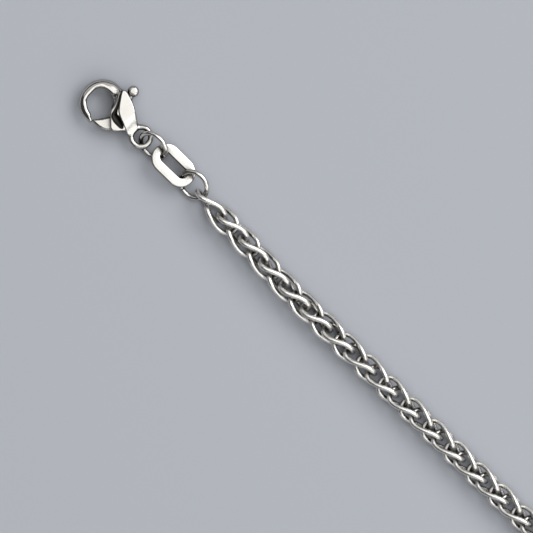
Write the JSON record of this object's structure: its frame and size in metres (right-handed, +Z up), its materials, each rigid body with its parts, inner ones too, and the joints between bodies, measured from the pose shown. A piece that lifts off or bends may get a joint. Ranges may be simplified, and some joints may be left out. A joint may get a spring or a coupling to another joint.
{
  "type": "wheat chain necklace",
  "caption": "Wheat chain necklace of interlocked twisted wire links, with a sprung lobster clasp, jump rings, a flat oval link and a plain end ring, lying open in a loop.",
  "frame": {"origin": "middle of the open loop, on the table that the necklace lies on", "axes": "+X along the straight stretch, from the clasp to the chain; +Y from that stretch across the loop; +Z up from the table"},
  "size_m": [0.1723, 0.125, 0.0031],
  "materials": {
    "clasp_metal": "polished white metal",
    "ring_metal": "polished white metal",
    "chain_metal": "polished white metal"
  },
  "bodies": {
    "necklace": {"clasp_body": "clasp_metal", "lever_pin": "clasp_metal", "clasp_ring": "ring_metal", "flat_link": "ring_metal", "chain_ring": "ring_metal", "wheat_links": "chain_metal", "wheat_run": "chain_metal", "far_ring": "ring_metal"},
    "lever": {"clasp_lever": "clasp_metal"}
  },
  "joints": [
    {"name": "lever_hinge", "type": "hinge", "parent": "necklace", "child": "lever", "pos_m": [-0.0311, -0.06053, 0.00125], "axis": [0, 0, -1], "range_deg": [0, 28], "stiffness_Nm_per_rad": 0.003, "springref_deg": -11.46}
  ]
}
